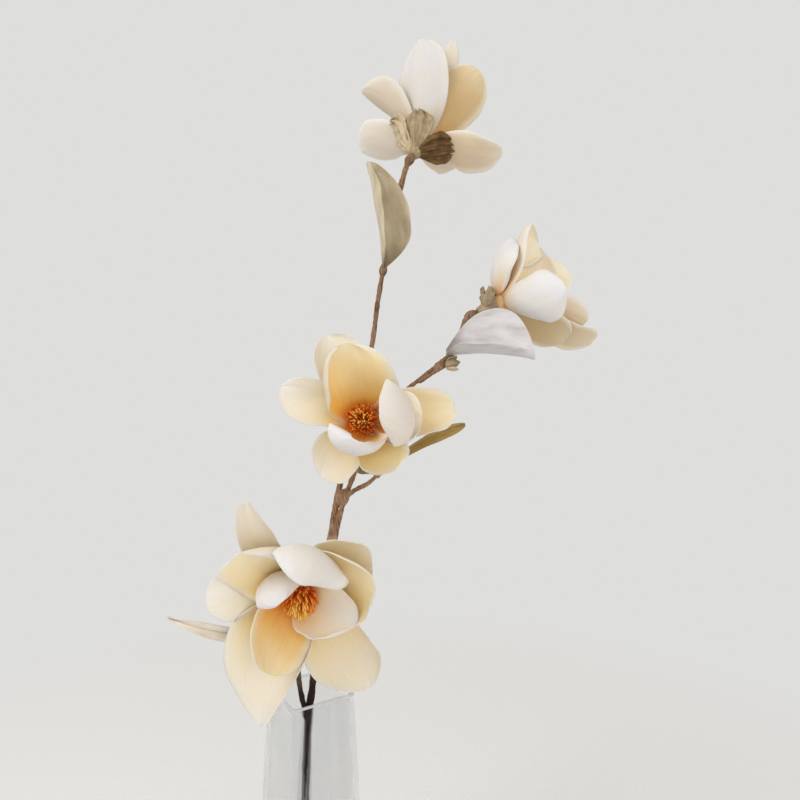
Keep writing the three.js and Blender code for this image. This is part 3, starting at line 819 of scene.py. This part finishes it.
# ---------------------------------------------------------------- side bud
BUD = {"at": (114.3, -7.1, 523.7), "faces": (0.86, -0.38, 0.22), "length": 13, "radius": 4}
BRACT = {
    "root": 3.2,
    "rise": 0.5,
    "length": 11,
    "width": 8,
    "wrap": 60,
    "cup": 50,
    "lean": (38, 14, -8),
    "ruffle": 0.3,
    "lump": 0.2,
    "ribs": 0.1,
}


def side_bud(material):
    rng = np.random.default_rng(5)
    piece = Piece()
    axes = bloom_frame(BUD["at"], BUD["faces"])
    length = BUD["length"]
    radius = BUD["radius"]
    profile = (
        (2, GAP), (3.6, 2), (radius, length * 0.4), (3.2, length * 0.7), (1.3, length * 0.92), (0.4, length)
    )
    core = turned(axes, smooth_profile(profile, 25), 30, 7, 0.05)
    upward = np.repeat(np.linspace(0, 1, 25), 30)
    around = np.tile(np.arange(30) / 30, 25)
    plain = {"inner": 0.0, "seed": 0.2, "glow": 1.0, "warm": 0.6, "tone": 1.0}
    piece.add(core, ring_faces(25, 30), s=upward, t=0.0, x_mm=around * 25, y_mm=upward * 13, **plain)
    for turn, warm in ((70, 0.1), (250, 0.0)):
        add_blade(piece, {**BRACT, "turn": turn, "warm": warm}, axes, 0.8, 20, 14, rng)
    piece.build("side_bud_scales", "side_bud", material)


# ---------------------------------------------------------------- vase
RIM_DEPTH = 0.2  # how far the clear glass ends below the top of its rim, whose pale colour is painted highlight
WALL_RINGS = 14
FOOT_CURVE = 5  # the radius inside, where the walls meet the floor


def square_ring(half, z):
    """A square with round corners, turned about +Z."""
    corner = min(VASE["corner"], half / 3)
    angle = (np.arange(4)[:, None] + np.linspace(0, 1, 12)) * TAU / 4
    centre = (np.arange(4)[:, None] + 0.5) * TAU / 4
    reach = (half - corner) * math.sqrt(2)
    x = reach * np.cos(centre) + corner * np.cos(angle)
    y = reach * np.sin(centre) + corner * np.sin(angle)
    turn = math.radians(VASE["turn"])
    return np.stack([
        x * math.cos(turn) - y * math.sin(turn),
        x * math.sin(turn) + y * math.cos(turn),
        np.full_like(x, z),
    ], axis=-1).reshape(-1, 3)


def vase(material, rim_material):
    height = VASE["height"]
    curve = VASE["round"]
    quarter = np.linspace(0, TAU / 4, 6)

    def outside(z):
        return mix(VASE["half_base"], VASE["half_rim"], z / height)

    def inside(z):
        return outside(z) - VASE["wall"]

    def lip(z):
        up = [(outside(z) - curve * (1 - math.cos(a)), z - curve * (1 - math.sin(a))) for a in quarter]
        return up + [(inside(z) + curve * (1 - math.sin(a)), z - curve * (1 - math.cos(a))) for a in quarter]

    top = height - RIM_DEPTH
    rings = [(outside(0) - curve * (1 - math.sin(a)), curve * (1 - math.cos(a))) for a in quarter]
    rings += [(outside(z), z) for z in np.linspace(curve, top - curve, WALL_RINGS)[1:-1]]
    rings += lip(top)
    rings += [(inside(z), z) for z in np.linspace(top - curve, VASE["floor"] + FOOT_CURVE, WALL_RINGS)[1:-1]]
    rings += [
        (
            inside(VASE["floor"] + FOOT_CURVE) - FOOT_CURVE * (1 - math.cos(a)),
            VASE["floor"] + FOOT_CURVE * (1 - math.sin(a)),
        )
        for a in quarter
    ]
    points = np.array([square_ring(half, z) for half, z in rings])
    piece = Piece()
    piece.add(points, ring_faces(len(rings), points.shape[1]))
    piece.build("vase_glass", "vase", material)
    rings = lip(height)
    points = np.array([square_ring(half, z) for half, z in rings])
    piece = Piece()
    around = points.shape[1]
    faces = ring_faces(len(rings), around, closed_ends=False)
    last = (len(rings) - 1) * around
    faces += [(j, last + j, last + (j + 1) % around, (j + 1) % around) for j in range(around)]
    piece.add(points, faces)
    piece.build("vase_rim", "vase", rim_material)


# ---------------------------------------------------------------- materials
class Shader:
    """A material and short ways to add nodes to it."""

    def __init__(self, name, **settings):
        self.material = bpy.data.materials.new(name)
        self.material.use_nodes = True
        self.nodes = self.material.node_tree.nodes
        self.links = self.material.node_tree.links
        self.surface = self.nodes["Principled BSDF"]
        for socket, value in settings.items():
            self.surface.inputs[socket.replace("_", " ")].default_value = value

    def node(self, kind, inputs=(), **settings):
        node = self.nodes.new("ShaderNode" + kind)
        for name, value in settings.items():
            setattr(node, name, value)
        for place_in, value in enumerate(inputs):
            self.feed(node.inputs[place_in], value)
        return node

    def feed(self, socket, value):
        if isinstance(value, bpy.types.NodeSocket):
            self.links.new(value, socket)
        elif value is not None:
            socket.default_value = value

    def value(self, name):
        return self.node("Attribute", attribute_name=name).outputs["Fac"]

    def math(self, operation, *inputs):
        return self.node("Math", inputs, operation=operation).outputs[0]

    def add(self, *inputs):
        return self.math("ADD", *inputs)

    def times(self, *inputs):
        return self.math("MULTIPLY", *inputs)

    def vector(self, x, y, z):
        return self.node("CombineXYZ", (x, y, z)).outputs[0]

    def noise(self, vector, scale, detail=3.0, roughness=0.55):
        made = self.node("TexNoise")
        self.feed(made.inputs["Vector"], vector)
        made.inputs["Scale"].default_value = scale
        made.inputs["Detail"].default_value = detail
        made.inputs["Roughness"].default_value = roughness
        return made.outputs["Fac"]

    def ramp(self, factor, stops):
        made = self.node("ValToRGB")
        self.feed(made.inputs[0], factor)
        elements = made.color_ramp.elements
        while len(elements) < len(stops):
            elements.new(1)
        for element, (position, colour) in zip(elements, stops):
            element.position = position
            element.color = (*colour, 1)
        return made.outputs[0]

    def blend(self, factor, a, b, kind="MIX"):
        made = self.node("MixRGB", blend_type=kind)
        for place_in, value in enumerate((factor, a, b)):
            if isinstance(value, tuple):
                value = (*value, 1)
            self.feed(made.inputs[place_in], value)
        return made.outputs[0]

    def bump(self, height, strength, distance):
        made = self.node("Bump")
        self.feed(made.inputs["Height"], height)
        made.inputs["Strength"].default_value = strength
        made.inputs["Distance"].default_value = distance
        self.links.new(made.outputs[0], self.surface.inputs["Normal"])

    def finish(self, colour, roughness):
        self.feed(self.surface.inputs["Base Color"], colour)
        self.feed(self.surface.inputs["Roughness"], roughness)
        return self.material


def petal_material():
    shader = Shader(
        "petal",
        Subsurface_Weight=0.5,
        Subsurface_Radius=(1.0, 0.75, 0.45),
        Subsurface_Scale=0.003,
        Specular_IOR_Level=0.25,
    )
    s = shader.value("s")
    seed = shader.times(shader.value("seed"), 90)
    lengthwise = shader.vector(
        shader.times(shader.value("x_mm"), 1.0), shader.times(shader.value("y_mm"), 0.09), seed
    )
    across_and_along = shader.vector(shader.value("x_mm"), shader.value("y_mm"), seed)
    veins = shader.noise(lengthwise, 0.9, 4, 0.6)
    crepe = shader.noise(across_and_along, 1.4, 4, 0.65)
    cloud = shader.noise(across_and_along, 0.07, 2)
    wander = shader.times(shader.add(veins, -0.5), 0.14)
    reach = shader.add(shader.math("DIVIDE", s, shader.value("glow")), wander)
    pale_inside = shader.ramp(reach, [
        (0.0, (0.70, 0.15, 0.01)),
        (0.11, (0.95, 0.37, 0.04)),
        (0.25, (0.95, 0.64, 0.26)),
        (0.42, (0.90, 0.78, 0.56)),
        (0.65, (0.87, 0.80, 0.70)),
        (1.0, (0.85, 0.81, 0.755)),
    ])
    warm_inside = shader.ramp(reach, [
        (0.0, (0.70, 0.15, 0.01)),
        (0.11, (0.97, 0.36, 0.03)),
        (0.27, (0.97, 0.58, 0.15)),
        (0.48, (0.93, 0.67, 0.33)),
        (0.75, (0.90, 0.71, 0.42)),
        (1.0, (0.87, 0.76, 0.57)),
    ])
    outer_reach = shader.add(s, wander)
    pale_outside = shader.ramp(outer_reach, [
        (0.0, (0.74, 0.42, 0.18)),
        (0.14, (0.72, 0.59, 0.43)),
        (0.32, (0.74, 0.71, 0.68)),
        (1.0, (0.74, 0.735, 0.75)),
    ])
    # The outside's darker tan-brown is partly its own tan and partly painted shade, for an outside turned
    # from the light.
    shaded_tan_outside = shader.ramp(outer_reach, [
        (0.0, (0.70, 0.32, 0.08)),
        (0.16, (0.60, 0.37, 0.14)),
        (0.40, (0.56, 0.41, 0.20)),
        (0.75, (0.60, 0.46, 0.27)),
        (1.0, (0.65, 0.55, 0.40)),
    ])
    warm = shader.value("warm")
    inside = shader.blend(warm, pale_inside, warm_inside)
    # On the outside, warm mixes in that painted shade.
    outside = shader.blend(warm, pale_outside, shaded_tan_outside)
    colour = shader.blend(shader.value("inner"), outside, inside)
    # Pale rims are partly painted highlight, the white of edges that catch the light, and partly the paler
    # outside where a rim rolls back.
    across = shader.math("ABSOLUTE", shader.value("t"))
    edge = shader.ramp(across, [(0.72, (0, 0, 0)), (1.0, (0.7, 0.7, 0.7))])
    colour = shader.blend(edge, colour, (0.80, 0.77, 0.73))
    tint = shader.ramp(cloud, [(0.35, (1.0, 0.985, 0.95)), (0.65, (0.985, 0.98, 1.0))])
    colour = shader.blend(1.0, colour, tint, "MULTIPLY")
    streak = shader.ramp(veins, [(0.3, (0.93, 0.90, 0.85)), (0.55, (1.0, 1.0, 1.0))])
    colour = shader.blend(0.4, colour, streak, "MULTIPLY")
    tone = shader.value("tone")
    colour = shader.blend(1.0, colour, shader.vector(tone, tone, tone), "MULTIPLY")
    height = shader.add(shader.times(veins, 0.6), shader.times(crepe, 0.35))
    shader.bump(height, 0.25, 0.0005)
    roughness = shader.add(shader.times(crepe, 0.25), 0.5)
    return shader.finish(colour, roughness)


def calyx_material():
    shader = Shader("calyx", Specular_IOR_Level=0.3)
    seed = shader.times(shader.value("seed"), 70)
    x = shader.value("x_mm")
    lengthwise = shader.vector(x, shader.times(shader.value("y_mm"), 0.12), seed)
    fibres = shader.noise(lengthwise, 0.9, 5, 0.65)
    blotch = shader.noise(shader.vector(x, shader.value("y_mm"), seed), 0.16, 3)
    shade = shader.add(shader.times(fibres, 0.55), shader.times(blotch, 0.45))
    pale = shader.ramp(shade, [
        (0.30, (0.30, 0.22, 0.11)),
        (0.50, (0.58, 0.47, 0.30)),
        (0.72, (0.72, 0.64, 0.48)),
    ])
    dark = shader.ramp(shade, [
        (0.30, (0.04, 0.018, 0.005)),
        (0.50, (0.13, 0.065, 0.018)),
        (0.72, (0.30, 0.19, 0.08)),
    ])
    colour = shader.blend(shader.value("warm"), pale, dark)
    shader.bump(fibres, 0.6, 0.0008)
    return shader.finish(colour, shader.add(shader.times(fibres, 0.3), 0.5))


def stamen_material():
    shader = Shader("stamen", Specular_IOR_Level=0.3, Subsurface_Weight=0.1, Subsurface_Scale=0.001)
    spot = shader.noise(shader.node("TexCoord").outputs["Object"], 900, 3)
    place_in = shader.add(shader.value("tip"), shader.times(shader.add(spot, -0.5), 0.5))
    place_in = shader.add(place_in, shader.times(shader.add(shader.value("seed"), -0.5), 0.3))
    colour = shader.ramp(place_in, [
        (0.0, (0.60, 0.07, 0.008)),
        (0.25, (0.80, 0.13, 0.015)),
        (0.60, (0.92, 0.27, 0.03)),
        (0.80, (0.95, 0.50, 0.07)),
        (1.0, (0.95, 0.72, 0.20)),
    ])
    shader.bump(spot, 0.4, 0.0003)
    return shader.finish(colour, shader.add(shader.times(spot, 0.3), 0.5))


def wood_material():
    shader = Shader("wood", Specular_IOR_Level=0.25)
    object_at = shader.node("TexCoord").outputs["Object"]
    parts = shader.node("SeparateXYZ", (object_at,)).outputs
    distance = shader.times(shader.value("y_mm"), 0.00018)
    streaks = shader.noise(shader.vector(parts[0], parts[1], distance), 900, 5, 0.65)
    patches = shader.noise(object_at, 60, 3)
    rings = shader.noise(shader.vector(0.0, 0.0, shader.value("y_mm")), 0.35, 2)
    shade = shader.add(shader.times(streaks, 0.6), shader.times(patches, 0.4))
    colour = shader.ramp(shade, [
        (0.30, (0.040, 0.019, 0.008)),
        (0.44, (0.17, 0.092, 0.048)),
        (0.56, (0.34, 0.215, 0.130)),
        (0.75, (0.50, 0.37, 0.27)),
    ])
    low = shader.ramp(parts[2], [(0.262, (0.05, 0.033, 0.03)), (0.30, (1.0, 1.0, 1.0))])
    colour = shader.blend(1.0, colour, low, "MULTIPLY")
    high = shader.ramp(parts[2], [(0.42, (1.12, 1.08, 1.05)), (0.60, (0.86, 0.82, 0.78))])
    colour = shader.blend(1.0, colour, high, "MULTIPLY")
    height = shader.add(streaks, shader.times(rings, 0.5))
    shader.bump(height, 0.8, 0.0009)
    return shader.finish(colour, shader.add(shader.times(streaks, 0.25), 0.6))


def leaf_material(name, dark, middle, pale):
    shader = Shader(name, Specular_IOR_Level=0.2, Sheen_Weight=0.15)
    seed = shader.times(shader.value("seed"), 50)
    x = shader.value("x_mm")
    y = shader.value("y_mm")
    reach = shader.math("ABSOLUTE", x)
    slant = shader.add(y, shader.times(reach, -0.75))
    side_veins = shader.math("PINGPONG", slant, 4.5)
    side_vein = shader.ramp(side_veins, [(0.0, (0.0, 0.0, 0.0)), (0.18, (1.0, 1.0, 1.0))])
    midrib = shader.ramp(reach, [(0.2, (0.0, 0.0, 0.0)), (0.9, (1.0, 1.0, 1.0))])
    felt = shader.noise(shader.vector(x, y, seed), 1.6, 4, 0.7)
    cloud = shader.noise(shader.vector(x, shader.times(y, 0.4), seed), 0.12, 3)
    shade = shader.add(shader.times(felt, 0.35), shader.times(cloud, 0.65))
    colour = shader.ramp(shade, [(0.32, dark), (0.5, middle), (0.68, pale)])
    root = shader.ramp(shader.value("s"), [(0.04, (0.55, 0.50, 0.45)), (0.22, (1.0, 1.0, 1.0))])
    colour = shader.blend(1.0, colour, root, "MULTIPLY")
    colour = shader.blend(0.12, colour, side_vein, "MULTIPLY")
    colour = shader.blend(0.35, colour, midrib, "MULTIPLY")
    height = shader.add(shader.times(side_vein, 0.25), shader.add(shader.times(midrib, 0.6), felt))
    shader.bump(height, 0.45, 0.0007)
    return shader.finish(colour, shader.add(shader.times(felt, 0.2), 0.65))


def glass_material():
    shader = Shader("glass", Transmission_Weight=1.0, IOR=1.3, Alpha=0.3)
    object_at = shader.node("TexCoord").outputs["Object"]
    film = shader.noise(object_at, 30, 3)
    smear = shader.noise(object_at, 8, 2)
    clear = shader.ramp(film, [(0.3, (0.60, 0.62, 0.645)), (0.7, (0.65, 0.67, 0.69))])
    shader.bump(smear, 0.05, 0.002)
    return shader.finish(clear, shader.times(film, 0.03))


def rim_material():
    """The rim of the vase, pale and half clear: a painted highlight for the bright edge of the glass."""
    shader = Shader("pale_rim_highlight", Transmission_Weight=0.35, IOR=1.45)
    grit = shader.noise(shader.node("TexCoord").outputs["Object"], 900, 3)
    colour = shader.ramp(grit, [(0.3, (0.84, 0.85, 0.86)), (0.7, (0.90, 0.905, 0.91))])
    shader.bump(grit, 0.2, 0.0002)
    return shader.finish(colour, shader.add(shader.times(grit, 0.2), 0.35))


# ---------------------------------------------------------------- the stage
WORLD = (0.735, 0.73, 0.715)
FLOOR_RADIUS = 0.9
FLOOR_SIDES = 96
LIGHT_AIM = (60, 0, 480)


def stage():
    world = bpy.data.worlds.new("pale_room")
    world.use_nodes = True
    world.node_tree.nodes["Background"].inputs[0].default_value = (*WORLD, 1)
    bpy.context.scene.world = world
    shader = Shader("pale_floor", Specular_IOR_Level=0.1)
    object_at = shader.node("TexCoord").outputs["Object"]
    grain = shader.noise(object_at, 220, 3)
    colour = shader.ramp(grain, [(0.3, (0.78, 0.77, 0.75)), (0.7, (0.82, 0.81, 0.79))])
    shader.finish(colour, 0.8)
    distance = shader.node("VectorMath", (object_at,), operation="LENGTH").outputs["Value"]
    fade = shader.ramp(shader.math("DIVIDE", distance, FLOOR_RADIUS), [
        (0.35, (0.0, 0.0, 0.0)), (1.0, (1.0, 1.0, 1.0))
    ])
    clear = shader.node("BsdfTransparent").outputs[0]
    both = shader.node("MixShader", (fade, shader.surface.outputs[0], clear)).outputs[0]
    shader.links.new(both, shader.nodes["Material Output"].inputs[0])
    angle = np.arange(FLOOR_SIDES) * TAU / FLOOR_SIDES
    rings = [
        np.stack([r * np.cos(angle), r * np.sin(angle), 0 * angle], axis=1)
        for r in (0.02, 0.2, 0.5, FLOOR_RADIUS)
    ]
    mesh = bpy.data.meshes.new("floor")
    faces = ring_faces(len(rings), FLOOR_SIDES, closed_ends=False) + [tuple(range(FLOOR_SIDES))]
    mesh.from_pydata(np.concatenate(rings), [], faces)
    mesh.materials.append(shader.material)
    floor = bpy.data.objects.new("floor", mesh)
    bpy.context.collection.objects.link(floor)


def light(name, at, size, power, colour):
    data = bpy.data.lights.new(name, "AREA")
    data.shape = "DISK"
    data.size = size
    data.energy = power
    data.color = colour
    lamp = bpy.data.objects.new(name, data)
    lamp.location = Vector(at) * MM
    lamp.rotation_euler = (Vector(LIGHT_AIM) * MM - lamp.location).to_track_quat("-Z", "Y").to_euler()
    bpy.context.collection.objects.link(lamp)


def lights():
    light("key", (-1200, -900, 1700), 1.2, 16, (1.0, 0.99, 0.985))
    light("fill", (600, -1500, 600), 1.6, 8, (1.0, 0.96, 0.91))


# ---------------------------------------------------------------- the scene
bpy.context.scene.view_settings.view_transform = "Standard"
stage()
lights()
petal_finish = petal_material()
calyx_finish = calyx_material()
stamen_finish = stamen_material()
for bloom_name, bloom_row in BLOOMS.items():
    bloom_axes = bloom_frame(bloom_row["at"], bloom_row["faces"])
    petals_of(bloom_name, bloom_row, bloom_axes, petal_finish)
    calyx_of(bloom_name, bloom_row, bloom_axes, calyx_finish)
    stamens_of(bloom_name, bloom_row, bloom_axes, stamen_finish)
wood(wood_material())
leaves()
side_bud(calyx_finish)
vase(glass_material(), rim_material())
